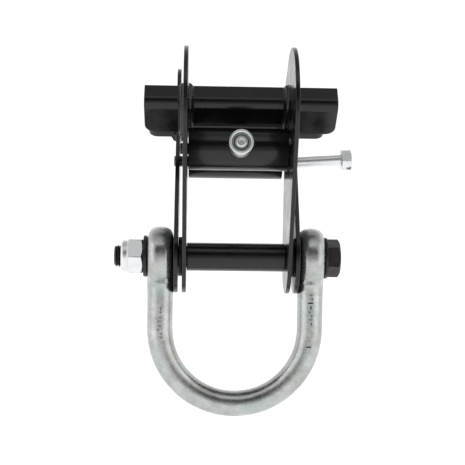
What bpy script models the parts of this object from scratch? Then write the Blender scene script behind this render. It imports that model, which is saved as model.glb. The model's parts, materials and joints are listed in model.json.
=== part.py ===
"""Scissor-type beam anchor: two pairs of links, two folded jaws, a tie bolt and a bow shackle.

Metres, +Z up, +X along the main pin, -Y towards the tie bolt's nut. The row origin is in the
middle of the flange space, on the line that joins the noses of the two jaws. Every piece hangs
on an empty that sits on its pivot's axis, and the shapes are drawn from that axis.
"""
from math import asin, atan2, copysign, cos, hypot, pi, radians, sin, tan

import bmesh
import bpy
from mathutils import Matrix, Vector

GAP = 0.0003                      # air left between pieces that touch

# Main pin, in the row frame, and the two jaw noses, measured from the pin (y, z).
PIN = (-0.034, -0.1098)
FRONT_NOSE = (-0.0200, 0.1098)
REAR_NOSE = (0.0880, 0.1098)

# Links: lean from the vertical, length between end centres, end radii.
FRONT_LEAN = radians(-14.0)
FRONT_REACH = 0.109
FRONT_HEAD_R = 0.043
REAR_LEAN = radians(32.0)
REAR_REACH = 0.139
REAR_HEAD_R = 0.026
LINK_TAIL_R = 0.0262
LINK_T = 0.0030
FRONT_LINK_X = 0.0359             # inner face of a front link

# Jaws: one folded plate each, legs at a right angle.
JAW_T = 0.005
JAW_BEND_R = 0.007                # outer radius of the fold
JAW_UPPER = 0.0173                # leg lengths from the sharp outer corner
JAW_LOWER = 0.0303
JAW_UPPER_SLOPE = radians(50.0)
JAW_HALF = 0.0689
JAW_SHIFT = 0.0018                # the jaws' middle is this far towards the pin's head
JAW_CORNER_R = 0.007
JAW_RELIEF = 0.0092               # lower leg cut back between the links
JAW_RELIEF_HALF = 0.0341

# Trunnions: round cross bars that carry the tie bolt, at one distance from the main pin.
TRUNNION_REACH = 0.0795
FRONT_TRUNNION_LEAN = radians(-12.5)
REAR_TRUNNION_LEAN = radians(28.0)
FRONT_BAR_R = 0.015
REAR_BAR_R = 0.0125
FRONT_SEAT = 0.0122               # bar axis to the flat that the nut bears on
REAR_SEAT = 0.0095                # bar axis to the flat that the bolt head bears on
FRONT_SEAT_R = 0.0090
REAR_SEAT_R = 0.0112
BAR_HALF = 0.0353
STUB_R = 0.0040                   # M8 pivot stubs
STUB_DEPTH = 0.019
STUB_HOLE_R = STUB_R + GAP
STUB_PROUD = 0.0014               # the rear stub stands out of its link

# Tie bolt, M10, with a round insert nut whose rim is wider than its seat.
TIE_X = 0.0011                    # the bolt's axis is this far towards the pin's head
TIE_R = 0.0049
TIE_BORE_R = 0.0054
TIE_POINT = 0.0013                # chamfer of the bolt's end
TIE_HEAD_T = 0.0064
TIE_FLATS = 0.017
TIE_NUT_T = 0.0185
TIE_NUT_SEAT_R = 0.0085
TIE_NUT_RIM_R = 0.0087
TIE_NUT_MOUTH_R = 0.0066
TIE_INSERT_T = 0.0032
TIE_INSERT_R = 0.0070
TIE_INSERT_DEPTH = 0.0008         # insert below the nut's face

# Lock screw, M8.
SCREW_FLATS = 0.0145
SCREW_HEAD_T = 0.0074
SCREW_HEAD_TURN = radians(7.0)
SCREW_SEAT_X = 0.081
SCREW_TIP_X = TIE_X + TIE_R + 0.0006
SCREW_HOLE_X = TIE_X + 0.0045     # the screw's hole starts inside the tie bolt's bore
SCREW_TILT = radians(4.2)         # its head sits a little high

# Main pin, M16, with washers and a nylon-insert nut.
PIN_R = 0.008
PIN_BORE_R = 0.0084
PIN_FLATS = 0.024
PIN_HEAD_T = 0.0090
PIN_NUT_T = 0.016
PIN_NUT_COLLAR_T = 0.0048
PIN_NUT_COLLAR_R = 0.0114
PIN_STUB = 0.0047                 # thread past the nut
SPACER_R = 0.01025
SPACER_BORE_R = 0.0085
INNER_WASHER_T = 0.0024
INNER_WASHER_R = 0.0143
HEAD_WASHER_T = 0.0020
NUT_WASHER_T = 0.0026
OUTER_WASHER_R = 0.0150

# Bow shackle.
SHACKLE_BAR_R = 0.0093
EYE_HALF = 0.0094
EYE_R = 0.0218
EYE_BORE_R = 0.0090
EYE_DOME_R = 0.0094
EYE_FULLNESS = 0.75               # below 1 the rim is squarer than a circle
BOW_ARC_Z = -0.0526

# Weld beads.
BEAD_LEG = 0.0038

# Stations along X, worked out from the stack.
WASHER_IN_X = FRONT_LINK_X + LINK_T + GAP
REAR_LINK_X = WASHER_IN_X + INNER_WASHER_T + GAP
EYE_IN_X = REAR_LINK_X + LINK_T + GAP
EYE_X = EYE_IN_X + EYE_HALF
WASHER_OUT_X = EYE_X + EYE_HALF + GAP
HEAD_X = WASHER_OUT_X + HEAD_WASHER_T + GAP
NUT_X = WASHER_OUT_X + NUT_WASHER_T + GAP

ROUND = 36                        # sides of a plain round piece
SMALL_ROUND = 24
EYE_SIDES = 40

for old in list(bpy.data.objects):
    bpy.data.objects.remove(old, do_unlink=True)


# ---------------------------------------------------------------- materials

def material(name, colour, roughness, metallic):
    made = bpy.data.materials.new(name)
    made.use_nodes = True
    shader = made.node_tree.nodes["Principled BSDF"]
    shader.inputs["Base Color"].default_value = (*colour, 1.0)
    shader.inputs["Roughness"].default_value = roughness
    shader.inputs["Metallic"].default_value = metallic
    return made


BLACK_PAINT = material("black_paint", (0.012, 0.012, 0.014), 0.28, 0.0)
BLACK_OXIDE = material("black_oxide", (0.020, 0.020, 0.023), 0.38, 0.6)
BRIGHT_ZINC = material("bright_zinc", (0.80, 0.82, 0.84), 0.25, 1.0)
GALVANISED = material("galvanised", (0.58, 0.60, 0.59), 0.38, 1.0)
NYLON = material("nylon", (0.40, 0.46, 0.44), 0.45, 0.0)


# ---------------------------------------------------------------- helpers

def pivot(name, place, tilt, parent, lift=0.0):
    """An empty on a pivot axis; place is (y, z) from the parent, tilt turns it about X.

    A lift raises the +X end of the axis."""
    empty = bpy.data.objects.new(name, None)
    bpy.context.collection.objects.link(empty)
    empty.parent = parent
    empty.location = (0.0, place[0], place[1])
    empty.rotation_euler = (tilt, -lift, 0.0)
    return empty


def add(name, bm, finish, parent):
    """Turns a bmesh into a named object with outward faces, shaded smooth with sharp edges."""
    bmesh.ops.recalc_face_normals(bm, faces=bm.faces)
    mesh = bpy.data.meshes.new(name)
    bm.to_mesh(mesh)
    bm.free()
    mesh.shade_smooth()
    mesh.set_sharp_from_angle(angle=radians(32.0))
    made = bpy.data.objects.new(name, mesh)
    bpy.context.collection.objects.link(made)
    made.parent = parent
    if finish is not None:
        mesh.materials.append(finish)
    return made


def combine(target, tool, operation):
    """Adds an exact Boolean; the tool becomes a wire guide that isn't part of the model."""
    tool.hide_render = True
    tool.display_type = "WIRE"
    step = target.modifiers.new(tool.name, "BOOLEAN")
    step.operation = operation
    step.solver = "EXACT"
    step.object = tool
    return target


def prism(outline, place, thickness):
    """Closed prism: place(a, b) gives a corner's position, thickness is the extrusion vector."""
    bm = bmesh.new()
    face = bm.faces.new([bm.verts.new(place(a, b)) for a, b in outline])
    swept = bmesh.ops.extrude_face_region(bm, geom=[face])
    moved = [item for item in swept["geom"] if isinstance(item, bmesh.types.BMVert)]
    bmesh.ops.translate(bm, verts=moved, vec=thickness)
    return bm


def plate(outline, x0, x1):
    """Prism of a (y, z) outline between two stations along X."""
    return prism(outline, lambda y, z: (x0, y, z), Vector((x1 - x0, 0.0, 0.0)))


def lathe(profile, sides, closed=False):
    """Turns an (x, radius) profile round the X axis; radius 0 makes a pole at either end."""
    bm = bmesh.new()
    rings = []
    for x, radius in profile:
        count = sides if radius > 0.0 else 1
        rings.append([bm.verts.new((x, radius * cos(2 * pi * k / count),
                                    radius * sin(2 * pi * k / count))) for k in range(count)])
    pairs = list(zip(rings, rings[1:]))
    if closed:
        pairs.append((rings[-1], rings[0]))
    for near, far in pairs:
        for k in range(sides):
            corners = [near[k % len(near)], near[(k + 1) % len(near)],
                       far[(k + 1) % len(far)], far[k % len(far)]]
            bm.faces.new(list(dict.fromkeys(corners)))
    return bm


def ring(x0, x1, inner, outer, sides=ROUND):
    """Plain washer or tube."""
    return lathe([(x0, inner), (x0, outer), (x1, outer), (x1, inner)], sides, closed=True)


def rod(x0, x1, radius, chamfer=0.0, sides=ROUND):
    """Plain round rod, chamfered at its x1 end."""
    profile = [(x0, 0.0), (x0, radius), (x1 - chamfer, radius)]
    if chamfer > 0.0:
        profile.append((x1, radius - chamfer))
    else:
        profile[-1] = (x1, radius)
    profile.append((x1, 0.0))
    return lathe(profile, sides)


def shift(bm, place):
    """Moves a bmesh to a pivot's (y, z)."""
    bmesh.ops.translate(bm, verts=bm.verts, vec=(0.0, place[0], place[1]))
    return bm


def along_tie(bm):
    """Turns a shape drawn along +X so that it runs along -Y, on the tie bolt's axis."""
    bmesh.ops.rotate(bm, verts=bm.verts, cent=(0, 0, 0), matrix=Matrix.Rotation(-pi / 2, 3, "Z"))
    bmesh.ops.translate(bm, verts=bm.verts, vec=(TIE_X, 0.0, 0.0))
    return bm


def from_pin(reach, lean):
    """The (y, z) point at a distance and lean from the main pin; a positive lean is backwards."""
    return (reach * sin(lean), reach * cos(lean))


def arc(centre, radius, start, end, steps):
    """Points of a circular arc in the (y, z) plane, both ends included."""
    points = []
    for k in range(steps + 1):
        turn = start + (end - start) * k / steps
        points.append((centre[0] + radius * cos(turn), centre[1] + radius * sin(turn)))
    return points


# ---------------------------------------------------------------- links

def link_outline(reach, lean, head_r, head_steps, tail_steps):
    """Hull of the tail circle round the pin and the head circle at the far end."""
    head = from_pin(reach, lean)
    along = atan2(head[1], head[0])
    side = pi / 2 + asin((head_r - LINK_TAIL_R) / reach)
    outline = arc(head, head_r, along - side, along + side, head_steps)
    outline += arc((0.0, 0.0), LINK_TAIL_R, along + side, along + 2 * pi - side, tail_steps)
    return outline


class Jaw:
    """A folded jaw: p runs up its upper leg, q down its lower leg, from the sharp corner."""

    def __init__(self, nose, facing):
        self.facing = facing
        self.up = Vector((facing * cos(JAW_UPPER_SLOPE), sin(JAW_UPPER_SLOPE)))
        self.down = Vector((facing * sin(JAW_UPPER_SLOPE), -cos(JAW_UPPER_SLOPE)))
        nose_setback = JAW_BEND_R * (1.0 - 0.5 ** 0.5)
        self.corner = Vector(nose) - nose_setback * (self.up + self.down)

    def point(self, p, q):
        return tuple(self.corner + p * self.up + q * self.down)

    def fold(self, radius, steps):
        """Arc round the fold's centre from the upper leg to the lower leg, as (p, q)."""
        turns = [(pi / 2) * k / steps for k in range(steps + 1)]
        return [(JAW_BEND_R - radius * sin(t), JAW_BEND_R - radius * cos(t)) for t in turns]

    def section(self):
        outline = [(JAW_UPPER, 0.0)] + self.fold(JAW_BEND_R, 10)
        outline += [(0.0, JAW_LOWER), (JAW_T, JAW_LOWER)]
        outline += list(reversed(self.fold(JAW_BEND_R - JAW_T, 6)))
        outline += [(JAW_UPPER, JAW_T)]
        return [self.point(p, q) for p, q in outline]

    def slot(self):
        """Cut for a link: clears the jaw, and opens the mouth to the link's inward edge."""
        reach = 0.080
        outline = [(JAW_UPPER + GAP, -GAP)] + self.fold(JAW_BEND_R + GAP, 10)
        outline += [(-GAP, JAW_LOWER + GAP), (JAW_T + GAP, JAW_LOWER + GAP)]
        points = [self.point(p, q) for p, q in outline]
        low = points[-1]
        high = self.point(JAW_UPPER + GAP, JAW_T + GAP)
        points += [(low[0] + self.facing * reach, low[1]), (low[0] + self.facing * reach, high[1])]
        points += [high]
        return points

    def plan(self):
        """Plan of the lower leg as (x, q): round corners, cut back between the links."""
        edge = []
        for side in (1.0, -1.0):
            corner = []
            for k in range(7):
                turn = (pi / 2) * k / 6
                across = side * (JAW_HALF - JAW_CORNER_R * (1.0 - cos(turn)))
                corner.append((JAW_SHIFT + across, JAW_LOWER - JAW_CORNER_R * (1.0 - sin(turn))))
            corner += [(side * JAW_RELIEF_HALF, JAW_LOWER),
                       (side * JAW_RELIEF_HALF, JAW_LOWER - JAW_RELIEF)]
            edge += corner if side > 0 else list(reversed(corner))
        margin = 0.010
        return [(JAW_SHIFT + JAW_HALF, -margin)] + edge + [(JAW_SHIFT - JAW_HALF, -margin)]

    def solid(self, name, parent):
        out = 0.002
        body = add(name, plate(self.section(), JAW_SHIFT - JAW_HALF - out,
                               JAW_SHIFT + JAW_HALF + out), BLACK_PAINT, parent)

        def place(x, q):
            y, z = self.point(-0.012, q)
            return (x, y, z)

        along_up = Vector((0.0, self.up[0], self.up[1]))
        trim = add(name + "_plan", prism(self.plan(), place, along_up * 0.045), None, parent)
        return combine(body, trim, "INTERSECT")

    def bead_path(self):
        """Points and outward directions round the outside of the section, as (p, q, dp, dq)."""
        path = []
        for k in range(6):
            path.append((JAW_UPPER - (JAW_UPPER - JAW_BEND_R) * k / 6, 0.0, 0.0, -1.0))
        for k in range(9):
            turn = (pi / 2) * k / 8
            path.append((JAW_BEND_R * (1.0 - sin(turn)), JAW_BEND_R * (1.0 - cos(turn)),
                         -sin(turn), -cos(turn)))
        for k in range(1, 8):
            path.append((0.0, JAW_BEND_R + (JAW_LOWER - JAW_BEND_R) * k / 7, -1.0, 0.0))
        for k in range(1, 4):
            turn = (pi / 2) * k / 3
            path.append((0.0, JAW_LOWER, -cos(turn), sin(turn)))
        path.append((JAW_T * 0.8, JAW_LOWER, 0.0, 1.0))
        return path

    def bead(self, name, face_x, side, parent):
        """Fillet weld on a link's face at face_x, growing the way that side points."""
        bm = bmesh.new()
        rows = []
        for step, (p, q, dp, dq) in enumerate(self.bead_path()):
            leg = BEAD_LEG * (0.93 + 0.07 * sin(2.4 * step))
            row = []
            for out, rise in ((GAP, 0.0), (leg, 0.0), (0.62 * leg, 0.62 * leg), (GAP, leg)):
                y, z = self.point(p + dp * out, q + dq * out)
                row.append(bm.verts.new((face_x + side * (GAP + rise), y, z)))
            rows.append(row)
        for near, far in zip(rows, rows[1:]):
            for k in range(4):
                bm.faces.new([near[k], near[(k + 1) % 4], far[(k + 1) % 4], far[k]])
        bm.faces.new(rows[0])
        bm.faces.new(list(reversed(rows[-1])))
        return add(name, bm, BLACK_PAINT, parent)


def link(name, outline, jaw, stub_place, x0, parent):
    """One link with its pin hole, its trunnion hole and the slot for its jaw."""
    body = add(name, plate(outline, x0, x0 + LINK_T), BLACK_PAINT, parent)
    out = 0.002
    for label, place, radius in (("pin", (0.0, 0.0), PIN_BORE_R), ("stub", stub_place, STUB_HOLE_R)):
        hole = shift(rod(x0 - out, x0 + LINK_T + out, radius, sides=SMALL_ROUND), place)
        combine(body, add(name + "_" + label, hole, None, parent), "DIFFERENCE")
    slot = add(name + "_slot", plate(jaw.slot(), x0 - out, x0 + LINK_T + out), None, parent)
    return combine(body, slot, "DIFFERENCE")


def link_pair(prefix, outline, jaw, stub_place, inner_x, parent):
    for label, x0 in (("left", -inner_x - LINK_T), ("right", inner_x)):
        link(f"{prefix}_link_{label}", outline, jaw, stub_place, x0, parent)
        jaw.bead(f"{prefix}_weld_{label}_inner", -inner_x if x0 < 0 else inner_x,
                 1.0 if x0 < 0 else -1.0, parent)
        jaw.bead(f"{prefix}_weld_{label}_outer", x0 if x0 < 0 else x0 + LINK_T,
                 -1.0 if x0 < 0 else 1.0, parent)


# ---------------------------------------------------------------- hexagon hardware

def hexagon(flats, turn):
    """Corners of a hexagon about the axis; turn is the first corner's angle from +Y to +Z."""
    return [(flats / (2 * cos(pi / 6)) * cos(turn + k * pi / 3),
             flats / (2 * cos(pi / 6)) * sin(turn + k * pi / 3)) for k in range(6)]


def hex_blank(name, flats, turn, x0, x1, envelope, finish, parent, orient):
    """Hexagon bar between two stations, trimmed by a turned envelope."""
    blank = add(name, orient(plate(hexagon(flats, turn), x0, x1)), finish, parent)
    trim = add(name + "_envelope", orient(lathe(envelope, ROUND)), None, parent)
    return combine(blank, trim, "INTERSECT")


def end_chamfer(flats, x, inward):
    """Envelope points at a chamfered end: the face's rim, then the full corner radius."""
    rim = 0.475 * flats
    corner = flats / (2 * cos(pi / 6)) + 0.0004
    return [(x, 0.0), (x, rim), (x + inward * (corner - rim) * 0.55, corner)]


def bolt(name, flats, turn, head_x0, head_x1, shank, finish, parent, orient):
    """Hexagon head chamfered at head_x1, joined to a turned shank."""
    inward = -1.0 if head_x1 > head_x0 else 1.0
    corner = flats / (2 * cos(pi / 6)) + 0.0004
    envelope = [(head_x0 + inward * 0.001, 0.0), (head_x0 + inward * 0.001, corner)]
    envelope += list(reversed(end_chamfer(flats, head_x1, inward)))
    low, high = min(head_x0, head_x1), max(head_x0, head_x1)
    body = hex_blank(name, flats, turn, low, high, envelope, finish, parent, orient)
    stem = add(name + "_shank", orient(shank), None, parent)
    return combine(body, stem, "UNION")


def lock_nut(name, sizes, turn, x0, outward, finish, parent, orient):
    """Nylon-insert nut seated at x0 with its collar facing outward, and its insert."""
    flats, height, collar_t, collar_r, bore_r, insert_r = sizes
    corner = flats / (2 * cos(pi / 6)) + 0.0004
    rim = 0.475 * flats
    collar_x = x0 + outward * (height - collar_t)
    end_x = x0 + outward * height
    round_r = 0.35 * collar_t
    envelope = [(x0, 0.0), (x0, rim), (x0 + outward * (corner - rim) * 0.55, corner)]
    envelope += [(collar_x - outward * (corner - collar_r) * 0.55, corner), (collar_x, collar_r)]
    envelope += [(end_x - outward * round_r, collar_r), (end_x - outward * 0.3 * round_r,
                                                         collar_r - 0.3 * round_r)]
    envelope += [(end_x, collar_r - round_r), (end_x, 0.0)]
    low, high = min(x0, end_x) - 0.001, max(x0, end_x) + 0.001
    body = hex_blank(name, flats, turn, low, high, envelope, finish, parent, orient)
    pocket_x = end_x - outward * (collar_t + 0.0002)
    lip_r = insert_r - 0.0007
    lip_x = end_x - outward * 0.0007
    bore = [(x0 - outward * 0.002, 0.0), (x0 - outward * 0.002, bore_r), (pocket_x, bore_r)]
    bore += [(pocket_x, insert_r + GAP), (lip_x, insert_r + GAP), (lip_x, lip_r + GAP)]
    bore += [(end_x + outward * 0.002, lip_r + GAP), (end_x + outward * 0.002, 0.0)]
    combine(body, add(name + "_bore", orient(lathe(bore, ROUND)), None, parent), "DIFFERENCE")
    seat = pocket_x + outward * GAP
    top = lip_x - outward * GAP
    add(name + "_insert", orient(ring(seat, top, bore_r, insert_r)), NYLON, parent)
    return body


def round_nut(x0, parent):
    """The tie bolt's nut: a turned sleeve that widens to a rounded rim, and its insert."""
    end_x = x0 + TIE_NUT_T
    edge = 0.0004
    round_r = 0.0008
    outside = [(x0, TIE_R + GAP), (x0, TIE_NUT_SEAT_R - edge), (x0 + edge, TIE_NUT_SEAT_R)]
    outside += [(end_x - round_r, TIE_NUT_RIM_R), (end_x - 0.3 * round_r, TIE_NUT_RIM_R - 0.3 * round_r)]
    outside += [(end_x, TIE_NUT_RIM_R - round_r), (end_x, TIE_NUT_MOUTH_R)]
    lip_x = end_x - TIE_INSERT_DEPTH + GAP
    pocket_x = end_x - TIE_INSERT_DEPTH - TIE_INSERT_T - GAP
    inside = [(lip_x, TIE_NUT_MOUTH_R), (lip_x, TIE_INSERT_R + GAP)]
    inside += [(pocket_x, TIE_INSERT_R + GAP), (pocket_x, TIE_R + GAP)]
    add("tie_nut", along_tie(lathe(outside + inside, ROUND, closed=True)), BRIGHT_ZINC, parent)
    insert = ring(pocket_x + GAP, lip_x - GAP, TIE_R + GAP, TIE_INSERT_R)
    add("tie_nut_insert", along_tie(insert), NYLON, parent)


def as_drawn(bm):
    return bm


# ---------------------------------------------------------------- shackle

def bow_path():
    """Centre line of the bow as (x, z): down one leg, round the bow and up the other."""
    path = [(-EYE_X, -0.0105), (-EYE_X, -0.030)]
    steps = 28
    for k in range(steps + 1):
        turn = pi + pi * k / steps
        path.append((EYE_X * cos(turn), BOW_ARC_Z + EYE_X * sin(turn)))
    path += [(EYE_X, -0.030), (EYE_X, -0.0105)]
    return path


def bow(sides):
    """Round bar swept along the bow's centre line."""
    bm = bmesh.new()
    path = bow_path()
    rows = []
    for k, (x, z) in enumerate(path):
        before = path[max(k - 1, 0)]
        after = path[min(k + 1, len(path) - 1)]
        run = hypot(after[0] - before[0], after[1] - before[1])
        across = (-(after[1] - before[1]) / run, (after[0] - before[0]) / run)
        row = []
        for j in range(sides):
            turn = 2 * pi * j / sides
            out = SHACKLE_BAR_R * cos(turn)
            row.append(bm.verts.new((x + across[0] * out, SHACKLE_BAR_R * sin(turn),
                                     z + across[1] * out)))
        rows.append(row)
    for near, far in zip(rows, rows[1:]):
        for j in range(sides):
            bm.faces.new([near[j], near[(j + 1) % sides], far[(j + 1) % sides], far[j]])
    bm.faces.new(rows[0])
    bm.faces.new(list(reversed(rows[-1])))
    return bm


def eye(side):
    """Domed eye: flat faces round the bore, then a round rim."""
    shoulder = EYE_R - EYE_DOME_R
    profile = [(side * EYE_X - EYE_HALF, 0.0), (side * EYE_X - EYE_HALF, shoulder)]
    for k in range(1, 12):
        turn = pi * k / 12
        along = copysign(abs(cos(turn)) ** EYE_FULLNESS, cos(turn))
        profile.append((side * EYE_X - EYE_HALF * along,
                        shoulder + EYE_DOME_R * sin(turn) ** EYE_FULLNESS))
    profile += [(side * EYE_X + EYE_HALF, shoulder), (side * EYE_X + EYE_HALF, 0.0)]
    return lathe(profile, EYE_SIDES)


def shackle(parent):
    body = add("shackle", bow(20), GALVANISED, parent)
    for label, side in (("left", -1.0), ("right", 1.0)):
        combine(body, add("eye_" + label, eye(side), None, parent), "UNION")
    for label, side in (("left", -1.0), ("right", 1.0)):
        x0 = side * EYE_X - EYE_HALF - 0.004
        x1 = side * EYE_X + EYE_HALF + 0.004
        bore = rod(x0, x1, EYE_BORE_R)
        combine(body, add("eye_bore_" + label, bore, None, parent), "DIFFERENCE")
    return body


# ---------------------------------------------------------------- assembly

pin = pivot("pin_axis", PIN, 0.0, None)
front_jaw = Jaw(FRONT_NOSE, 1.0)
rear_jaw = Jaw(REAR_NOSE, -1.0)
front_trunnion_place = from_pin(TRUNNION_REACH, FRONT_TRUNNION_LEAN)
rear_trunnion_place = from_pin(TRUNNION_REACH, REAR_TRUNNION_LEAN)
tie_tilt = (FRONT_TRUNNION_LEAN + REAR_TRUNNION_LEAN) / -2.0
tie_span = 2 * TRUNNION_REACH * sin((REAR_TRUNNION_LEAN - FRONT_TRUNNION_LEAN) / 2)
front_pivot = pivot("front_trunnion_axis", front_trunnion_place, tie_tilt, pin)
rear_pivot = pivot("rear_trunnion_axis", rear_trunnion_place, tie_tilt, pin)
screw_drop = (REAR_LINK_X + LINK_T / 2) * tan(SCREW_TILT)
screw_pivot = pivot("lock_screw_axis", (rear_trunnion_place[0], rear_trunnion_place[1] - screw_drop),
                    0.0, pin, SCREW_TILT)

# Front frame: two pear-shaped links, the jaw welded through them, the spacer tube and washers.
link_pair("front", link_outline(FRONT_REACH, FRONT_LEAN, FRONT_HEAD_R, 40, 20), front_jaw,
          front_trunnion_place, FRONT_LINK_X, pin)
front_jaw.solid("front_jaw", pin)
add("spacer_tube", ring(-FRONT_LINK_X + GAP, FRONT_LINK_X - GAP, SPACER_BORE_R, SPACER_R),
    BLACK_PAINT, pin)
for label, side in (("left", -1.0), ("right", 1.0)):
    near, far = sorted((side * WASHER_IN_X, side * (WASHER_IN_X + INNER_WASHER_T)))
    add("inner_washer_" + label, ring(near, far, PIN_BORE_R, INNER_WASHER_R), BLACK_OXIDE, pin)

# Rear frame: two straight links and their jaw.
link_pair("rear", link_outline(REAR_REACH, REAR_LEAN, REAR_HEAD_R, 28, 20), rear_jaw,
          rear_trunnion_place, REAR_LINK_X, pin)
rear_jaw.solid("rear_jaw", pin)


def trunnion(name, radius, seat, seat_r, seat_side, parent):
    """Cross bar with the tie bolt's bore, a flat for the nut or head, and end holes."""
    body = add(name, rod(-BAR_HALF, BAR_HALF, radius), BLACK_PAINT, parent)
    reach = radius + 0.004
    bore = along_tie(rod(-reach, reach, TIE_BORE_R, sides=SMALL_ROUND))
    combine(body, add(name + "_bore", bore, None, parent), "DIFFERENCE")
    near, far = sorted((seat_side * seat, seat_side * reach))
    facing = along_tie(rod(near, far, seat_r, sides=SMALL_ROUND))
    combine(body, add(name + "_seat", facing, None, parent), "DIFFERENCE")
    return body


def end_hole(body, x0, x1, parent):
    hole = rod(min(x0, x1), max(x0, x1), STUB_HOLE_R, sides=SMALL_ROUND)
    combine(body, add(f"{body.name}_hole_{'left' if x0 < 0 else 'right'}", hole, None, parent),
            "DIFFERENCE")


# Front trunnion with its two stubs, which end in the washers' gap.
front_bar = trunnion("front_trunnion", FRONT_BAR_R, FRONT_SEAT, FRONT_SEAT_R, 1.0, front_pivot)
stub_end = REAR_LINK_X - 2 * GAP
for label, side in (("left", -1.0), ("right", 1.0)):
    end_hole(front_bar, side * (BAR_HALF - STUB_DEPTH), side * (BAR_HALF + 0.002), front_pivot)
    stub = rod(BAR_HALF - STUB_DEPTH + GAP, stub_end, STUB_R, 0.0005, SMALL_ROUND)
    if side < 0:
        bmesh.ops.scale(stub, verts=stub.verts, vec=(-1.0, 1.0, 1.0))
    add("front_stub_" + label, stub, BLACK_PAINT, front_pivot)

# Rear trunnion: a stub on the left; the lock screw is its pivot on the right.
rear_bar = trunnion("rear_trunnion", REAR_BAR_R, REAR_SEAT, REAR_SEAT_R, -1.0, rear_pivot)
end_hole(rear_bar, -(BAR_HALF - STUB_DEPTH), -(BAR_HALF + 0.002), rear_pivot)
end_hole(rear_bar, SCREW_HOLE_X, BAR_HALF + 0.002, screw_pivot)
rear_stub = rod(BAR_HALF - STUB_DEPTH + GAP, REAR_LINK_X + LINK_T + STUB_PROUD, STUB_R, 0.0005,
                SMALL_ROUND)
bmesh.ops.scale(rear_stub, verts=rear_stub.verts, vec=(-1.0, 1.0, 1.0))
add("rear_stub_left", rear_stub, BLACK_PAINT, rear_pivot)
screw_shank = lathe([(SCREW_TIP_X, 0.0), (SCREW_TIP_X, STUB_R - 0.001),
                     (SCREW_TIP_X + 0.001, STUB_R), (SCREW_SEAT_X + 0.002, STUB_R),
                     (SCREW_SEAT_X + 0.002, 0.0)], SMALL_ROUND)
bolt("lock_screw", SCREW_FLATS, SCREW_HEAD_TURN, SCREW_SEAT_X, SCREW_SEAT_X + SCREW_HEAD_T, screw_shank,
     BRIGHT_ZINC, screw_pivot, as_drawn)

# Tie bolt, drawn from the front trunnion's axis; its head bears on the rear trunnion.
tie_seat_x = -(tie_span + REAR_SEAT + GAP)
nut_seat_x = FRONT_SEAT + GAP
tie_end_x = nut_seat_x + TIE_NUT_T - TIE_INSERT_DEPTH
tie_shank = lathe([(tie_seat_x - 0.002, 0.0), (tie_seat_x - 0.002, TIE_R),
                   (tie_end_x - TIE_POINT, TIE_R), (tie_end_x, TIE_R - TIE_POINT),
                   (tie_end_x, 0.0)], SMALL_ROUND)
bolt("tie_bolt", TIE_FLATS, 0.0, tie_seat_x, tie_seat_x - TIE_HEAD_T, tie_shank, BRIGHT_ZINC,
     front_pivot, along_tie)
round_nut(nut_seat_x, front_pivot)

# Main pin with its washers and nut.
pin_end = -(NUT_X + PIN_NUT_T + PIN_STUB)
pin_shank = lathe([(HEAD_X + 0.002, 0.0), (HEAD_X + 0.002, PIN_R), (pin_end + 0.0012, PIN_R),
                   (pin_end, PIN_R - 0.0012), (pin_end, 0.0)], ROUND)
bolt("pin_bolt", PIN_FLATS, radians(-6.6) + pi / 6, HEAD_X, HEAD_X + PIN_HEAD_T, pin_shank,
     BLACK_OXIDE, pin, as_drawn)
for label, side, thick in (("head", 1.0, HEAD_WASHER_T), ("nut", -1.0, NUT_WASHER_T)):
    near, far = sorted((side * WASHER_OUT_X, side * (WASHER_OUT_X + thick)))
    add("washer_" + label, ring(near, far, PIN_BORE_R, OUTER_WASHER_R), BLACK_OXIDE, pin)
lock_nut("pin_nut", (PIN_FLATS, PIN_NUT_T, PIN_NUT_COLLAR_T, PIN_NUT_COLLAR_R, PIN_R + GAP, 0.0098),
         pi, -NUT_X, -1.0, BRIGHT_ZINC, pin, as_drawn)

shackle(pin)
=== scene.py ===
"""Looks of the beam anchor: painted clamp, zinc hardware and a galvanised shackle."""
import json
import random
from math import atan2, copysign, cos, hypot, pi, radians, sin, tan

import bmesh
import bpy
from mathutils import Matrix, Vector, noise

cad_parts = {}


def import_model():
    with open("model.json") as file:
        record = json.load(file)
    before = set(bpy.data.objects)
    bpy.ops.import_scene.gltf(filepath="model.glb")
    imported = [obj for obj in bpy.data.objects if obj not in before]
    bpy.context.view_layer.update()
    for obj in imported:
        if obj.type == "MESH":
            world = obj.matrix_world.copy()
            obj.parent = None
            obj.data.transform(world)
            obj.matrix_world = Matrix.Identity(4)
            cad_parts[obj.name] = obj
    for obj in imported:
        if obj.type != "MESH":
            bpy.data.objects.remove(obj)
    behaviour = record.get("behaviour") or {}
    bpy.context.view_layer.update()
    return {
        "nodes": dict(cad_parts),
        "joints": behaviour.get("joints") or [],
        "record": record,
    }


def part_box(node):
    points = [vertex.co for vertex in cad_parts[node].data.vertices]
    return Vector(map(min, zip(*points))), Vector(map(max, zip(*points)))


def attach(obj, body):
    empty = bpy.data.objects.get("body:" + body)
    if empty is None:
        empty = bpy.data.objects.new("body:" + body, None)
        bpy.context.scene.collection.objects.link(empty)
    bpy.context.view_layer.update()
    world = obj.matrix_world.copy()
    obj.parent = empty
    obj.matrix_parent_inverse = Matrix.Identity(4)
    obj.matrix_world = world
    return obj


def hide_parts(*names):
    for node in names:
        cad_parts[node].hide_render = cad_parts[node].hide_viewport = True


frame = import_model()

GAP = 0.0003            # clearance between pieces that would touch
OVERRUN = 0.002         # how far a cutter runs past what it cuts
FINE = 96               # sides of a turned surface


def joint(name):
    """A joint of the frame, by its name."""
    return next(j for j in frame["joints"] if j["name"] == name)


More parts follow.
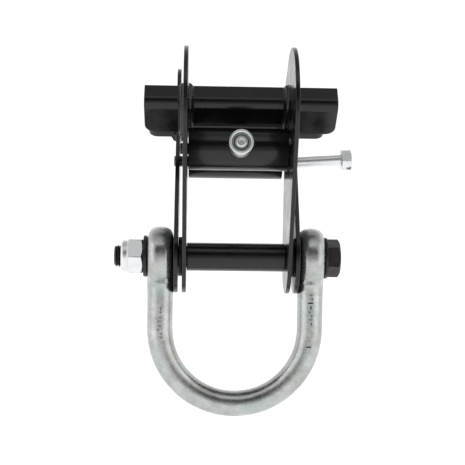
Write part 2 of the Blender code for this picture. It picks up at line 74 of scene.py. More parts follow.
PIN = Vector(joint("clamp_close")["pos_m"])
FRONT_PIVOT = Vector(joint("front_trunnion_turn")["pos_m"])
REAR_PIVOT = Vector(joint("rear_trunnion_turn")["pos_m"])
TIE_AXIS = Vector(joint("tie_bolt_slide")["axis"])
BODY_OF = {node: body for body, members in frame["record"]["behaviour"]["bodies"].items()
           for node in members}
SLOT_OF = {part["node"]: part["material_slot"] for part in frame["record"]["subparts"]}


# ---------------------------------------------------------------- materials

class Nodes:
    """Short calls for the nodes of one tree, with one kind of coordinates."""

    def __init__(self, tree, coordinates):
        self.tree = tree
        self.place = tree.nodes.new("ShaderNodeTexCoord").outputs[coordinates]

    def axes(self):
        """The X, Y and Z of the coordinates."""
        node = self.tree.nodes.new("ShaderNodeSeparateXYZ")
        self.tree.links.new(self.place, node.inputs["Vector"])
        return node.outputs["X"], node.outputs["Y"], node.outputs["Z"]

    def spread(self, source, low_high, to_low_high, smooth=False):
        """A value taken from one range to another, in a straight line or a smooth step."""
        node = self.tree.nodes.new("ShaderNodeMapRange")
        if smooth:
            node.interpolation_type = "SMOOTHSTEP"
        for name, value in zip(("From Min", "From Max", "To Min", "To Max"),
                               (*low_high, *to_low_high)):
            node.inputs[name].default_value = value
        self.tree.links.new(source, node.inputs["Value"])
        return node.outputs["Result"]

    def blend(self, factor, first, second):
        """Mixes two colours; each is a tuple or a socket."""
        node = self.tree.nodes.new("ShaderNodeMix")
        node.data_type = "RGBA"
        self.tree.links.new(factor, node.inputs["Factor"])
        for value, socket in ((first, node.inputs["A"]), (second, node.inputs["B"])):
            if isinstance(value, tuple):
                socket.default_value = (*value, 1.0)
            else:
                self.tree.links.new(value, socket)
        return node.outputs["Result"]

    def math(self, operation, first, second):
        """One maths step on two values; each is a number or a socket."""
        node = self.tree.nodes.new("ShaderNodeMath")
        node.operation = operation
        for value, socket in ((first, node.inputs[0]), (second, node.inputs[1])):
            if isinstance(value, float):
                socket.default_value = value
            else:
                self.tree.links.new(value, socket)
        return node.outputs["Value"]


class Shader(Nodes):
    """A Principled material."""

    def __init__(self, name):
        self.material = bpy.data.materials.new(name)
        self.material.use_nodes = True
        super().__init__(self.material.node_tree, "Object")
        self.main = self.tree.nodes["Principled BSDF"]

    def set(self, **values):
        """Plain values for the shader's own sockets."""
        for name, value in values.items():
            self.main.inputs[name.replace("_", " ")].default_value = value

    def link(self, source, socket):
        """Feeds one of the shader's sockets."""
        self.tree.links.new(source, self.main.inputs[socket])

    def noise(self, scale, detail, rough=0.55, stretch=None):
        """Fractal noise, scaled along each axis if stretch is given."""
        node = self.tree.nodes.new("ShaderNodeTexNoise")
        node.inputs["Scale"].default_value = scale
        node.inputs["Detail"].default_value = detail
        node.inputs["Roughness"].default_value = rough
        source = self.place
        if stretch is not None:
            scaling = self.tree.nodes.new("ShaderNodeMapping")
            scaling.inputs["Scale"].default_value = stretch
            self.tree.links.new(source, scaling.inputs["Vector"])
            source = scaling.outputs["Vector"]
        self.tree.links.new(source, node.inputs["Vector"])
        return node.outputs["Fac"]

    def cells(self, scale):
        """Flat random cells."""
        node = self.tree.nodes.new("ShaderNodeTexVoronoi")
        node.inputs["Scale"].default_value = scale
        self.tree.links.new(self.place, node.inputs["Vector"])
        return node.outputs["Color"]

    def bump(self, *heights):
        """Bump from (height socket, strength, distance) layers."""
        last = None
        for height, strength, distance in heights:
            node = self.tree.nodes.new("ShaderNodeBump")
            node.inputs["Strength"].default_value = strength
            node.inputs["Distance"].default_value = distance
            self.tree.links.new(height, node.inputs["Height"])
            if last is not None:
                self.tree.links.new(last, node.inputs["Normal"])
            last = node.outputs["Normal"]
        self.link(last, "Normal")


PAINT_COOL = (0.0060, 0.0061, 0.0068)
PAINT_BROWN = (0.0105, 0.0095, 0.0085)
PAINT_SCUFF = (0.030, 0.029, 0.028)
PAINT_DUST = (0.11, 0.108, 0.10)


def black_paint():
    """Glossy black paint: slight orange peel, a brown cast in places, fine dust and scuffs."""
    s = Shader("black_paint_look")
    patches = s.spread(s.noise(scale=38.0, detail=3.0), (0.52, 0.70), (0.0, 1.0))
    base = s.blend(patches, PAINT_COOL, PAINT_BROWN)
    scratches = s.noise(scale=520.0, detail=5.0, rough=0.7, stretch=(1.0, 0.25, 0.25))
    scuff = s.spread(scratches, (0.66, 0.74), (0.0, 0.6))
    base = s.blend(scuff, base, PAINT_SCUFF)
    dust = s.spread(s.noise(scale=2600.0, detail=2.0), (0.74, 0.80), (0.0, 0.5))
    s.link(s.blend(dust, base, PAINT_DUST), "Base Color")
    gloss = s.spread(s.noise(scale=75.0, detail=4.0), (0.35, 0.70), (0.15, 0.27))
    s.link(s.math("ADD", gloss, s.math("MULTIPLY", scuff, 0.25)), "Roughness")
    s.bump((s.noise(scale=620.0, detail=2.0), 0.18, 0.0002),
           (s.noise(scale=90.0, detail=2.0), 0.25, 0.0006))
    s.set(IOR=1.46)
    return s.material


OXIDE_DARK = (0.006, 0.006, 0.007)
OXIDE_BROWN = (0.016, 0.015, 0.014)
OXIDE_RUBBED = (0.055, 0.053, 0.051)


def black_oxide():
    """Blackened steel: dark and even, a little brown, dull where it's handled."""
    s = Shader("black_oxide_look")
    tint = s.spread(s.noise(scale=150.0, detail=4.0), (0.40, 0.68), (0.0, 1.0))
    base = s.blend(tint, OXIDE_DARK, OXIDE_BROWN)
    rub = s.spread(s.noise(scale=900.0, detail=4.0, rough=0.7), (0.62, 0.74), (0.0, 0.6))
    s.link(s.blend(rub, base, OXIDE_RUBBED), "Base Color")
    s.link(s.spread(s.noise(scale=240.0, detail=3.0), (0.3, 0.7), (0.30, 0.52)), "Roughness")
    s.bump((s.noise(scale=1500.0, detail=3.0), 0.25, 0.00012))
    s.set(Metallic=0.2, IOR=1.5)
    return s.material


ZINC_BLUE = (0.72, 0.74, 0.765)
ZINC_PALE = (0.79, 0.80, 0.80)
ZINC_BLOOM = (0.70, 0.71, 0.71)


def bright_zinc():
    """Zinc plate: pale and bluish, faint tool lines, soft white bloom in patches."""
    s = Shader("bright_zinc_look")
    tint = s.spread(s.noise(scale=170.0, detail=3.0), (0.35, 0.70), (0.0, 1.0))
    base = s.blend(tint, ZINC_BLUE, ZINC_PALE)
    bloom = s.spread(s.noise(scale=420.0, detail=5.0, rough=0.65), (0.58, 0.74), (0.0, 0.55))
    s.link(s.blend(bloom, base, ZINC_BLOOM), "Base Color")
    gloss = s.spread(s.noise(scale=260.0, detail=3.0), (0.3, 0.7), (0.30, 0.40))
    s.link(s.math("ADD", gloss, s.math("MULTIPLY", bloom, 0.30)), "Roughness")
    lines = s.noise(scale=900.0, detail=2.0, rough=0.5, stretch=(0.25, 1.0, 1.0))
    s.bump((lines, 0.05, 0.0001))
    s.set(Metallic=1.0)
    return s.material


FORGED_GREY = (0.35, 0.36, 0.346)
FORGED_PALE = (0.51, 0.52, 0.507)
FORGED_COOL = (0.385, 0.452, 0.444)
FORGED_WARM = (0.395, 0.372, 0.325)
FORGED_SPECK = (0.29, 0.29, 0.27)
FORGED_SPANGLE = (0.82, 0.83, 0.84)


def galvanised():
    """Zinc on a forging: soft grey mottle, cool and warm casts, dull specks and fine pits."""
    s = Shader("galvanised_look")
    mottle = s.spread(s.noise(scale=95.0, detail=5.0, rough=0.60), (0.36, 0.66), (0.0, 1.0))
    base = s.blend(mottle, FORGED_GREY, FORGED_PALE)
    cool = s.spread(s.noise(scale=48.0, detail=2.0), (0.46, 0.62), (0.0, 0.55))
    base = s.blend(cool, base, FORGED_COOL)
    streaks = s.noise(scale=60.0, detail=3.0, rough=0.55, stretch=(1.0, 1.0, 0.6))
    warm = s.spread(streaks, (0.56, 0.70), (0.0, 0.45))
    base = s.blend(warm, base, FORGED_WARM)
    specks = s.spread(s.noise(scale=520.0, detail=5.0, rough=0.72), (0.60, 0.74), (0.0, 0.55))
    base = s.blend(specks, base, FORGED_SPECK)
    spangle = s.spread(s.cells(scale=420.0), (0.0, 1.0), (0.0, 0.12))
    s.link(s.blend(spangle, base, FORGED_SPANGLE), "Base Color")
    gloss = s.spread(s.noise(scale=210.0, detail=4.0), (0.32, 0.70), (0.20, 0.33))
    s.link(s.math("ADD", gloss, s.math("MULTIPLY", specks, 0.20)), "Roughness")
    s.bump((s.noise(scale=120.0, detail=3.0), 0.30, 0.0007),
           (s.noise(scale=900.0, detail=4.0, rough=0.6), 0.22, 0.0002))
    s.set(Metallic=0.95)
    return s.material


NYLON_DARK = (0.10, 0.130, 0.120)
NYLON_PALE = (0.17, 0.205, 0.19)


def nylon():
    """Nut insert: grey-green nylon, slightly waxy."""
    s = Shader("nylon_look")
    tint = s.spread(s.noise(scale=500.0, detail=3.0), (0.35, 0.70), (0.0, 1.0))
    s.link(s.blend(tint, NYLON_DARK, NYLON_PALE), "Base Color")
    s.link(s.spread(s.noise(scale=700.0, detail=2.0), (0.3, 0.7), (0.32, 0.50)), "Roughness")
    s.bump((s.noise(scale=1800.0, detail=2.0), 0.20, 0.0001))
    s.set(Subsurface_Weight=0.15, Subsurface_Scale=0.001)
    return s.material


LOOKS = {"black_paint": black_paint(), "black_oxide": black_oxide(), "bright_zinc": bright_zinc(),
         "galvanised": galvanised(), "nylon": nylon()}


# ---------------------------------------------------------------- mesh helpers

def temporary(bm):
    """A scene object that holds a bmesh for a modifier; the bmesh is freed."""
    mesh = bpy.data.meshes.new("temporary")
    bmesh.ops.recalc_face_normals(bm, faces=bm.faces)
    bm.to_mesh(mesh)
    bm.free()
    made = bpy.data.objects.new("temporary", mesh)
    bpy.context.scene.collection.objects.link(made)
    return made


def evaluated(obj):
    """The object's mesh with its modifiers, as a bmesh; the object is removed."""
    bpy.context.view_layer.update()
    graph = bpy.context.evaluated_depsgraph_get()
    bm = bmesh.new()
    bm.from_mesh(obj.evaluated_get(graph).to_mesh())
    bpy.data.objects.remove(obj, do_unlink=True)
    return bm


def boolean(target, tool, operation):
    """Exact Boolean of two bmeshes."""
    body = temporary(target)
    cutter = temporary(tool)
    step = body.modifiers.new("boolean", "BOOLEAN")
    step.operation = operation
    step.solver = "EXACT"
    step.object = cutter
    made = evaluated(body)
    bpy.data.objects.remove(cutter, do_unlink=True)
    return made


def joined(*parts):
    """Several closed shapes in one bmesh."""
    made = bmesh.new()
    for part in parts:
        mesh = bpy.data.meshes.new("part")
        bmesh.ops.recalc_face_normals(part, faces=part.faces)
        part.to_mesh(mesh)
        part.free()
        made.from_mesh(mesh)
        bpy.data.meshes.remove(mesh)
    return made


def lathe(profile, sides=FINE, closed=False):
    """Turns an (x, radius) profile round the X axis; radius 0 makes a pole at either end."""
    bm = bmesh.new()
    rings = []
    for x, radius in profile:
        count = sides if radius > 0.0 else 1
        rings.append([bm.verts.new((x, radius * cos(2 * pi * k / count),
                                    radius * sin(2 * pi * k / count))) for k in range(count)])
    pairs = list(zip(rings, rings[1:]))
    if closed:
        pairs.append((rings[-1], rings[0]))
    for near, far in pairs:
        for k in range(sides):
            corners = [near[k % len(near)], near[(k + 1) % len(near)],
                       far[(k + 1) % len(far)], far[k % len(far)]]
            bm.faces.new(list(dict.fromkeys(corners)))
    return bm


def drum(x0, x1, radius, sides=FINE):
    """Plain closed cylinder between two stations along X, mostly used as a cutter."""
    return lathe([(x0, 0.0), (x0, radius), (x1, radius), (x1, 0.0)], sides)


def skin(bm, rings):
    """Closes a row of equal rings of vertices into a solid."""
    count = len(rings[0])
    for near, far in zip(rings, rings[1:]):
        for k in range(count):
            bm.faces.new([near[k], near[(k + 1) % count], far[(k + 1) % count], far[k]])
    bm.faces.new(rings[0])
    bm.faces.new(list(reversed(rings[-1])))


def prism(outline, x0, x1):
    """Prism of a (y, z) outline between two stations along X."""
    bm = bmesh.new()
    face = bm.faces.new([bm.verts.new((x0, y, z)) for y, z in outline])
    swept = bmesh.ops.extrude_face_region(bm, geom=[face])
    moved = [item for item in swept["geom"] if isinstance(item, bmesh.types.BMVert)]
    bmesh.ops.translate(bm, verts=moved, vec=(x1 - x0, 0.0, 0.0))
    return bm


def put(bm, node, smooth, bevel=None, at=None, turned=None):
    """Makes the finished piece: moves it into place, gives it its look and lets it ride."""
    if turned is not None:
        bmesh.ops.transform(bm, matrix=turned, verts=bm.verts)
    if at is not None:
        bmesh.ops.translate(bm, verts=bm.verts, vec=at)
    bmesh.ops.recalc_face_normals(bm, faces=bm.faces)
    piece_name = node + "_fine"
    mesh = bpy.data.meshes.new(piece_name)
    bm.to_mesh(mesh)
    bm.free()
    mesh.shade_smooth()
    if bevel is None:
        mesh.set_sharp_from_angle(angle=radians(smooth))
    mesh.materials.append(LOOKS[SLOT_OF[node]])
    made = bpy.data.objects.new(piece_name, mesh)
    bpy.context.scene.collection.objects.link(made)
    if bevel is not None:
        step = made.modifiers.new("edge", "BEVEL")
        step.width = bevel
        step.segments = 3
        step.limit_method = "ANGLE"
        step.angle_limit = radians(smooth)
        step.use_clamp_overlap = True
        made.modifiers.new("shade", "WEIGHTED_NORMAL").keep_sharp = True
    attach(made, BODY_OF[node])
    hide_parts(node)


SAME_POINT = 1e-6
SAME_FACE = radians(0.3)


def refine(node, bevel, smooth=32.0):
    """A CAD node's own shape with its flat faces rejoined and its edges rounded."""
    bm = bmesh.new()
    bm.from_mesh(frame["nodes"][node].data)
    bmesh.ops.remove_doubles(bm, verts=bm.verts, dist=SAME_POINT)
    bmesh.ops.dissolve_limit(bm, angle_limit=SAME_FACE, verts=bm.verts, edges=bm.edges)
    put(bm, node, smooth, bevel)


def along(direction):
    """Rotation that takes +X to a direction in the YZ plane, keeping +Z upwards."""
    x = Vector(direction).normalized()
    y = Vector((0.0, 0.0, 1.0)).cross(x).normalized()
    return Matrix((x, y, x.cross(y))).transposed().to_4x4()


# ---------------------------------------------------------------- plates, jaws and washers

PLATE_EDGE = 0.0005
WASHER_EDGE = 0.0004
STUB_EDGE = 0.0003
JAW_SMOOTH = 25.0

for plate in ("front_link_left", "front_link_right", "rear_link_left", "rear_link_right"):
    refine(plate, PLATE_EDGE)
for jaw in ("front_jaw", "rear_jaw"):
    refine(jaw, PLATE_EDGE, JAW_SMOOTH)
for washer in ("inner_washer_left", "inner_washer_right", "washer_head", "washer_nut"):
    refine(washer, WASHER_EDGE)
for stub in ("front_stub_left", "front_stub_right", "rear_stub_left"):
    refine(stub, STUB_EDGE)


# ---------------------------------------------------------------- welds

NOSE_Y = 0.054                    # jaw nose from the middle, either way
JAW_SLOPE = radians(50.0)
JAW_BEND_R = 0.007
JAW_T = 0.005
JAW_UPPER = 0.0173                # legs of the jaw's section, from its outer corner
JAW_LOWER = 0.0303

BEAD_LEG = 0.0040
BEAD_SPACING = 0.00045
BEAD_RIPPLE = 5.2                 # spacings to one ripple
BEAD_END = 5.0                    # spacings over which an end tapers
BEAD_ARC = 8                      # steps round the bead's crown, and round a leg's end


def bead_path():
    """(p, q, dp, dq) round the outside of a jaw's section, evenly spaced."""
    path = []
    straight = int((JAW_UPPER - JAW_BEND_R) / BEAD_SPACING)
    for k in range(straight):
        path.append((JAW_UPPER - (JAW_UPPER - JAW_BEND_R) * k / straight, 0.0, 0.0, -1.0))
    bend = int(JAW_BEND_R * pi / 2 / BEAD_SPACING)
    for k in range(bend + 1):
        turn = (pi / 2) * k / bend
        path.append((JAW_BEND_R * (1 - sin(turn)), JAW_BEND_R * (1 - cos(turn)),
                     -sin(turn), -cos(turn)))
    lower = int((JAW_LOWER - JAW_BEND_R) / BEAD_SPACING)
    for k in range(1, lower + 1):
        path.append((0.0, JAW_BEND_R + (JAW_LOWER - JAW_BEND_R) * k / lower, -1.0, 0.0))
    for k in range(1, BEAD_ARC + 1):
        turn = (pi / 2) * k / BEAD_ARC
        path.append((0.0, JAW_LOWER, -cos(turn), sin(turn)))
    path.append((JAW_T * 0.8, JAW_LOWER, 0.0, 1.0))
    return path


def bead_size(step, count, seed):
    """The bead's leg at one step: overlapping ripples that swell, drift and taper."""
    wander = 1.3 * noise.noise(Vector((step * 0.11, seed, 0.0)))
    swell = 0.88 + 0.10 * ((step + wander) / BEAD_RIPPLE % 1.0) ** 0.6
    drift = 0.10 * noise.noise(Vector((step * 0.05, seed, 4.0)))
    ends = min(1.0, (step + 1.5) / BEAD_END, (count - step + 0.5) / BEAD_END)
    return BEAD_LEG * (swell + drift) * (0.55 + 0.45 * ends)


def weld(node, corner, up, down, face_x, side, seed):
    """Hand-laid fillet bead between a jaw and the face of a link."""
    bm = bmesh.new()
    path = bead_path()
    rings = []
    for step, (p, q, dp, dq) in enumerate(path):
        leg = bead_size(step, len(path), seed)
        row = [(0.0, 0.0), (leg, 0.0)]
        for k in range(1, BEAD_ARC):
            turn = (pi / 2) * k / BEAD_ARC
            bulge = leg * (0.80 + 0.05 * sin(2 * turn))
            row.append((bulge * cos(turn) ** 0.85, bulge * sin(turn) ** 0.85))
        row.append((0.0, leg))
        ring = []
        for out, rise in row:
            spot = corner + up * (p + dp * (out + GAP)) + down * (q + dq * (out + GAP))
            ring.append(bm.verts.new((face_x + side * (GAP + rise), spot.y, spot.z)))
        rings.append(ring)
    skin(bm, rings)
    put(bm, node, 50.0)


def jaw_corner(facing):
    """The outer corner of a jaw's section before it is bent, and its two directions."""
    up = Vector((0.0, facing * cos(JAW_SLOPE), sin(JAW_SLOPE)))
    down = Vector((0.0, facing * sin(JAW_SLOPE), -cos(JAW_SLOPE)))
    nose = Vector((0.0, -facing * NOSE_Y, 0.0))
    return nose - JAW_BEND_R * (1.0 - 0.5 ** 0.5) * (up + down), up, down


for prefix, facing in (("front", 1.0), ("rear", -1.0)):
    corner, up, down = jaw_corner(facing)
    for label, side in (("left", -1.0), ("right", 1.0)):
        low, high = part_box(f"{prefix}_link_{label}")
        outer_x, inner_x = (low.x, high.x) if side < 0 else (high.x, low.x)
        weld(f"{prefix}_weld_{label}_inner", corner, up, down, inner_x, -side,
             3.1 + side + facing)
        weld(f"{prefix}_weld_{label}_outer", corner, up, down, outer_x, side,
             8.7 + side + facing)


# ---------------------------------------------------------------- trunnions and spacer

TIE_X = 0.0011                    # the tie bolt's axis, to the right of the middle
TIE_R = 0.0049
TIE_BORE_R = 0.0054
TIE_PLACE = Matrix.Translation((TIE_X, 0.0, 0.0)) @ along(TIE_AXIS)
SCREW_TILT = radians(4.2)
SCREW_CROSSING_X = 0.0434         # where the lock screw is level with the rear pivot
SCREW_PLACE = Matrix.Translation((0.0, 0.0, -SCREW_CROSSING_X * tan(SCREW_TILT)))
SCREW_PLACE = SCREW_PLACE @ Matrix.Rotation(-SCREW_TILT, 4, "Y")

FRONT_BAR_R = 0.015
FRONT_SEAT = 0.0122               # from the bar's axis to the flat under the nut
FRONT_SEAT_R = 0.0090
REAR_BAR_R = 0.0125
REAR_SEAT = 0.0095                # and to the flat under the tie bolt's head
REAR_SEAT_R = 0.0112
BAR_EDGE = 0.0007
BAR_HOLE_R = 0.0043
STUB_HOLE_T = 0.019
SCREW_HOLE_FROM_TIE = 0.0045


def bar(node, pivot, radius, seat, seat_r, seat_side, screwed):
    """Cross bar; the lock screw's long hole, if it has one, follows the screw's axis."""
    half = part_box(node)[1].x
    ease = 0.3 * BAR_EDGE
    body = lathe([(-half, 0.0), (-half, radius - BAR_EDGE), (-half + ease, radius - ease),
                  (-half + BAR_EDGE, radius), (half - BAR_EDGE, radius),
                  (half - ease, radius - ease), (half, radius - BAR_EDGE), (half, 0.0)])
    reach = radius + 2 * OVERRUN
    across = Matrix.Translation((TIE_X, 0.0, 0.0)) @ Matrix.Rotation(pi / 2, 4, "Z")
    bore = drum(-reach, reach, TIE_BORE_R, 48)
    bmesh.ops.transform(bore, matrix=across, verts=bore.verts)
    body = boolean(body, bore, "DIFFERENCE")
    near, far = sorted((-seat_side * seat, -seat_side * reach))
    facing = drum(near, far, seat_r, 64)
    bmesh.ops.transform(facing, matrix=across, verts=facing.verts)
    body = boolean(body, facing, "DIFFERENCE")
    tilt = Matrix.Rotation(-atan2(TIE_AXIS.z, -TIE_AXIS.y), 4, "X")
    bmesh.ops.transform(body, matrix=tilt, verts=body.verts)
    for side in (-1.0, 1.0):
        long_hole = screwed and side > 0.0
        start = TIE_X + SCREW_HOLE_FROM_TIE if long_hole else half - STUB_HOLE_T
        near, far = sorted((side * start, side * (half + OVERRUN)))
        hole = drum(near, far, BAR_HOLE_R, 32)
        if long_hole:
            bmesh.ops.transform(hole, matrix=SCREW_PLACE, verts=hole.verts)
        body = boolean(body, hole, "DIFFERENCE")
    put(body, node, 30.0, at=pivot)


bar("front_trunnion", FRONT_PIVOT, FRONT_BAR_R, FRONT_SEAT, FRONT_SEAT_R, 1.0, False)
bar("rear_trunnion", REAR_PIVOT, REAR_BAR_R, REAR_SEAT, REAR_SEAT_R, -1.0, True)

TUBE_BORE = 0.0085
TUBE_EDGE = 0.0005
low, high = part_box("spacer_tube")
tube_r = (high.z - low.z) / 2
put(lathe([(low.x, TUBE_BORE), (low.x, tube_r - TUBE_EDGE), (low.x + TUBE_EDGE, tube_r),
           (high.x - TUBE_EDGE, tube_r), (high.x, tube_r - TUBE_EDGE), (high.x, TUBE_BORE)],
          closed=True), "spacer_tube", 32.0, at=PIN)


# ---------------------------------------------------------------- fasteners

RIM_SHARE = 0.475                 # radius of the chamfer's rim, against the flats
CORNER_SPARE = 0.0004             # how far the turned envelope stands off the corners
HEAD_SLOPE = 0.55                 # chamfer's depth along the axis, against its fall
FASTENER_EDGE = 0.0003            # rounding of zinc edges
NUT_CORNER = 0.0009               # width of the eased corners of the main pin's nut


def corner_reach(flats):
    """From a hexagon's middle to its corners."""
    return flats / (2 * cos(pi / 6))


def hexagon(flats, turn, eased=0.0):
    """Hexagon outline; its corners can be eased by narrow flats of a given width."""
    reach = corner_reach(flats)
    shifts = (0.0,)
    if eased > 0.0:
        depth = reach - eased / (2 * tan(pi / 3))
        spread = atan2(eased / 2, depth)
        reach = hypot(depth, eased / 2)
        shifts = (-spread, spread)
    return [(reach * cos(turn + k * pi / 3 + shift), reach * sin(turn + k * pi / 3 + shift))
            for k in range(6) for shift in shifts]


def hex_blank(flats, turn, x0, x1, chamfer0, chamfer1, rim_share=RIM_SHARE):
    """Hexagon bar from x0 to x1 (x0 < x1), turned down at either end as a nut or head is."""
    corner = corner_reach(flats) + CORNER_SPARE
    rim = rim_share * flats
    depth = (corner - rim) * HEAD_SLOPE
    envelope = [(x0, 0.0)]
    envelope += [(x0, rim), (x0 + depth, corner)] if chamfer0 else [(x0, corner)]
    envelope += [(x1 - depth, corner), (x1, rim)] if chamfer1 else [(x1, corner)]
    envelope += [(x1, 0.0)]
    blank = prism(hexagon(flats, turn), x0 - OVERRUN / 2, x1 + OVERRUN / 2)
    return boolean(blank, lathe(envelope), "INTERSECT")


THREAD_SIDES = 48
THREAD_ROWS = 10                  # rings to one pitch
THREAD_DEPTH = 0.60               # against the pitch


def thread(x0, x1, radius, pitch, chamfer):
    """Closed rod with a helical thread from x0 to x1, chamfered at x1 (x1 may be below x0)."""
    bm = bmesh.new()
    sign = 1.0 if x1 > x0 else -1.0
    length = abs(x1 - x0)
    depth = THREAD_DEPTH * pitch
    rows = max(2, int(length / pitch * THREAD_ROWS))
    rings = []
    for r in range(rows + 1):
        run = length * r / rows
        cap = radius - chamfer + (length - run) * 0.9
        ring = []
        for k in range(THREAD_SIDES):
            turn = 2 * pi * k / THREAD_SIDES
            phase = (run / pitch - sign * k / THREAD_SIDES) % 1.0
            groove = max(0.0, 1.0 - abs(phase - 0.5) / 0.40)
            size = min(radius - depth * min(1.0, groove * 1.12), cap)
            ring.append(bm.verts.new((x0 + sign * run, size * cos(turn), size * sin(turn))))
        rings.append(ring)
    skin(bm, rings)
    return bm


def lock_nut(node, insert, flats, turn, x0, outward, height, collar_t, collar_r, bore_r,
             insert_r, at):
    """Nylon-insert nut: chamfered hexagon, turned collar rolled over the insert."""
    collar_x = x0 + outward * (height - collar_t)
    end_x = x0 + outward * height
    corner = corner_reach(flats) + CORNER_SPARE
    rim = RIM_SHARE * flats
    shoulder = 0.0002
    envelope = [(x0, 0.0), (x0, rim), (x0 + outward * (corner - rim) * HEAD_SLOPE, corner)]
    envelope.append((collar_x - outward * (corner - collar_r) * 0.50, corner))
    envelope.append((collar_x, collar_r + shoulder))
    envelope.append((collar_x + outward * shoulder, collar_r))
    roll = 0.45 * collar_t
    for k in range(7):
        bend = (pi / 2) * k / 6
        envelope.append((end_x - outward * roll * (1 - sin(bend)),
                         collar_r - roll * (1 - cos(bend))))
    envelope.append((end_x, 0.0))
    low, high = sorted((x0 - outward * OVERRUN / 2, end_x + outward * OVERRUN / 2))
    blank = prism(hexagon(flats, turn, NUT_CORNER), low, high)
    body = boolean(blank, lathe(envelope), "INTERSECT")
    lip = 0.0007
    pocket_x = end_x - outward * (collar_t + 0.0002)
    lip_x = end_x - outward * lip
    lip_r = insert_r - lip
    bore = [(x0 - outward * OVERRUN, 0.0), (x0 - outward * OVERRUN, bore_r), (pocket_x, bore_r),
            (pocket_x, insert_r + GAP), (lip_x, insert_r + GAP), (lip_x, lip_r + GAP),
            (end_x + outward * OVERRUN, lip_r + GAP + 0.0006), (end_x + outward * OVERRUN, 0.0)]
    body = boolean(body, lathe(bore), "DIFFERENCE")
    put(body, node, 30.0, bevel=FASTENER_EDGE, at=at)
    seat = pocket_x + outward * GAP
    top = lip_x - outward * GAP
    dish = [(seat, bore_r), (seat, insert_r), (top, insert_r), (top, insert_r - 0.0006),
            (top - outward * 0.0004, bore_r + 0.0005), (top - outward * 0.0007, bore_r)]
    put(lathe(dish, closed=True), insert, 40.0, at=at)


TIE_NUT_T = 0.0185
TIE_NUT_SEAT_R = 0.0085
TIE_NUT_RIM_R = 0.0087
TIE_NUT_RIM_T = 0.0060
TIE_NUT_MOUTH_R = 0.0066
TIE_NUT_ROLL = 0.0010
TIE_INSERT_R = 0.0070
TIE_INSERT_T = 0.0032
TIE_INSERT_SUNK = 0.0008


def round_nut(x0):
    """The tie bolt's nut: a turned sleeve that widens to a rolled rim, and its insert."""
    end_x = x0 + TIE_NUT_T
    outside = [(x0, TIE_R + GAP), (x0, TIE_NUT_SEAT_R - 0.0006),
               (x0 + 0.0002, TIE_NUT_SEAT_R - 0.0002), (x0 + 0.0006, TIE_NUT_SEAT_R),
               (end_x - TIE_NUT_RIM_T, TIE_NUT_RIM_R)]
    roll = (TIE_NUT_RIM_R - TIE_NUT_MOUTH_R) / 2
    for k in range(13):
        bend = pi * k / 12
        swell = sin(bend) ** 0.8
        outside.append((end_x - TIE_NUT_ROLL * (1.0 - swell),
                        TIE_NUT_RIM_R - roll * (1.0 - cos(bend))))
    lip_x = end_x - TIE_INSERT_SUNK + GAP
    pocket_x = end_x - TIE_INSERT_SUNK - TIE_INSERT_T - GAP
    inside = [(lip_x, TIE_NUT_MOUTH_R), (lip_x, TIE_INSERT_R + GAP),
              (pocket_x, TIE_INSERT_R + GAP), (pocket_x, TIE_R + GAP)]
    put(lathe(outside + inside, closed=True), "tie_nut", 30.0, at=FRONT_PIVOT, turned=TIE_PLACE)
    seat = pocket_x + GAP
    top = lip_x - GAP
    dish = [(seat, TIE_R + GAP), (seat, TIE_INSERT_R), (top, TIE_INSERT_R),
            (top, TIE_NUT_MOUTH_R - 0.0003), (top - 0.0004, TIE_NUT_MOUTH_R - 0.0007),
            (top - 0.0005, TIE_R + 2 * GAP), (top - 0.0008, TIE_R + GAP)]
    put(lathe(dish, closed=True), "tie_nut_insert", 40.0, at=FRONT_PIVOT, turned=TIE_PLACE)


# Tie bolt and its nut: +X of the drawing runs along the tie axis, from the front trunnion.
TIE_POINT = 0.0013
TIE_POINT_DIMPLE = 0.0003
TIE_PITCH = 0.0015
TIE_FLATS = 0.017
TIE_HEAD_T = 0.0064
TIE_PLAIN = 0.014                 # unthreaded length under the head

tie_span = (REAR_PIVOT - FRONT_PIVOT).length
tie_head_x = -(tie_span + REAR_SEAT + GAP)
tie_nut_x = FRONT_SEAT + GAP
tie_end_x = tie_nut_x + TIE_NUT_T - 0.0008
round_nut(tie_nut_x)
head = hex_blank(TIE_FLATS, 0.0, tie_head_x - TIE_HEAD_T, tie_head_x, True, False)
plain_x = tie_head_x + TIE_PLAIN
neck = drum(tie_head_x - 0.001, plain_x, TIE_R)
screwed = thread(plain_x - 0.0004, tie_end_x - 0.0008, TIE_R, TIE_PITCH, 0.0006)
dome = [(tie_end_x - 0.0030, 0.0), (tie_end_x - 0.0030, TIE_R - 0.0010)]
for k in range(9):
    bend = (pi / 2) * k / 8
    dome.append((tie_end_x - TIE_POINT * 0.7 * (1.0 - sin(bend)),
                 TIE_R - TIE_POINT * (1.9 - cos(bend))))
dome += [(tie_end_x, 0.0022), (tie_end_x - TIE_POINT_DIMPLE, 0.0018),
         (tie_end_x - TIE_POINT_DIMPLE, 0.0)]
put(joined(boolean(head, neck, "UNION"), screwed, lathe(dome)), "tie_bolt", 30.0,
    at=FRONT_PIVOT, turned=TIE_PLACE)

# Lock screw, drawn along +X.
SCREW_R = 0.0040
SCREW_POINT = 0.001
SCREW_TIP_X = TIE_X + TIE_R + 0.0006
SCREW_SEAT_X = 0.081
SCREW_HEAD_T = 0.0074
SCREW_FLATS = 0.0145
SCREW_HEAD_TURN = radians(7.0)
SCREW_RIM_SHARE = 0.47

